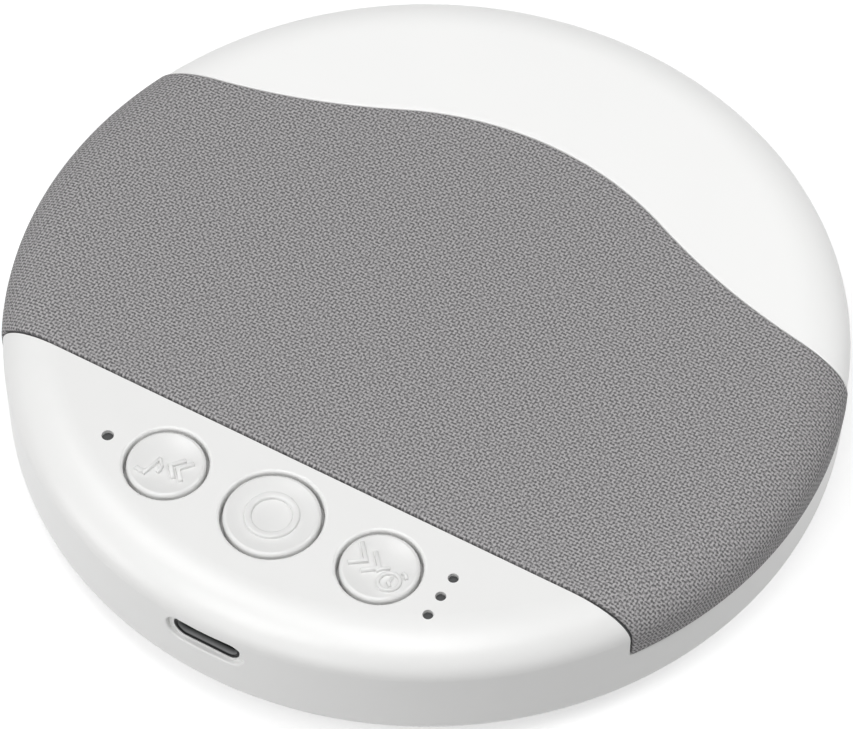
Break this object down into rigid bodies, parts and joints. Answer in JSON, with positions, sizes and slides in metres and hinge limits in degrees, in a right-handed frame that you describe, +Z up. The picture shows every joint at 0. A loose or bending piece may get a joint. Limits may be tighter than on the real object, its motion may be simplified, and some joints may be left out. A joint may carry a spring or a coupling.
{
  "type": "white noise sound machine",
  "caption": "Flat round sound machine with a cloth-covered speaker, a wave-edged night light, push buttons and a charging port.",
  "frame": {"origin": "on the surface it stands on, under the centre of the round body", "axes": "+Z up, out of the speaker side; -Y towards the control deck and the charging port; +X to the user's right"},
  "size_m": [0.1054, 0.105, 0.0193],
  "materials": {
    "case_plastic": "fine satin white",
    "inner_plastic": "plain white",
    "frame_plastic": "plain grey",
    "light_plastic": "satin opal white",
    "clear_plastic": "clear",
    "dark_plastic": "plain black",
    "cell_wrap": "silver grey film",
    "board_laminate": "green solder mask",
    "lamp": "clear over yellow",
    "cloth": "plain weave, mid grey",
    "paper": "pressed black pulp",
    "spider_cloth": "resin dipped",
    "rubber": "matt grey",
    "foam": "closed-cell foam",
    "tape": "double-sided foam tape",
    "wire": "flexible insulation",
    "steel": "zinc plated",
    "magnet": "sintered, nickel plated",
    "shell_steel": "dark nickel",
    "copper": "enamelled copper on a paper tube"
  },
  "bodies": {
    "case": {"housing_shell": "case_plastic", "base_cover": "case_plastic", "rubber_feet": "rubber", "case_screws": "steel", "grille_frame": "frame_plastic", "grille_cloth": "cloth", "light_cover": "light_plastic", "light_tray": "inner_plastic", "light_seal": "foam", "lamp_board": "board_laminate", "night_lamps": "lamp", "speaker_basket": "dark_plastic", "speaker_yoke": "steel", "speaker_magnet": "magnet", "speaker_pole": "steel", "speaker_surround": "foam", "speaker_spider": "spider_cloth", "speaker_gasket": "foam", "speaker_terminal": "dark_plastic", "speaker_screws": "steel", "main_board": "board_laminate", "board_screws": "steel", "switch_housings": "dark_plastic", "usb_shell": "shell_steel", "usb_tongue": "dark_plastic", "indicator_leds": "lamp", "status_light_pipe": "clear_plastic", "timer_light_pipes": "clear_plastic", "controller_chip": "dark_plastic", "amplifier_chip": "dark_plastic", "charger_chip": "dark_plastic", "power_inductor": "magnet", "board_capacitors": "dark_plastic", "battery_cell": "cell_wrap", "battery_circuit": "board_laminate", "battery_tape": "tape", "board_headers": "clear_plastic", "lead_plugs": "inner_plastic", "speaker_lead": "wire", "battery_lead": "wire", "lamp_lead": "wire"},
    "left_button": {"button_left": "case_plastic", "switch_plunger_left": "dark_plastic"},
    "middle_button": {"button_middle": "case_plastic", "switch_plunger_middle": "dark_plastic"},
    "right_button": {"button_right": "case_plastic", "switch_plunger_right": "dark_plastic"},
    "cone": {"speaker_cone": "paper", "speaker_dust_cap": "paper", "voice_coil": "copper"}
  },
  "joints": [
    {"name": "left_button_press", "type": "slide", "parent": "case", "child": "left_button", "axis": [0, 0, -1], "range_m": [0, 0.00035], "stiffness_N_per_m": 3000},
    {"name": "middle_button_press", "type": "slide", "parent": "case", "child": "middle_button", "axis": [0, 0, -1], "range_m": [0, 0.00035], "stiffness_N_per_m": 3000},
    {"name": "right_button_press", "type": "slide", "parent": "case", "child": "right_button", "axis": [0, 0, -1], "range_m": [0, 0.00035], "stiffness_N_per_m": 3000},
    {"name": "cone_travel", "type": "slide", "parent": "case", "child": "cone", "axis": [0, 0, 1], "range_m": [-0.0008, 0.0008], "stiffness_N_per_m": 1500, "deforming": ["speaker_surround", "speaker_spider"]}
  ]
}
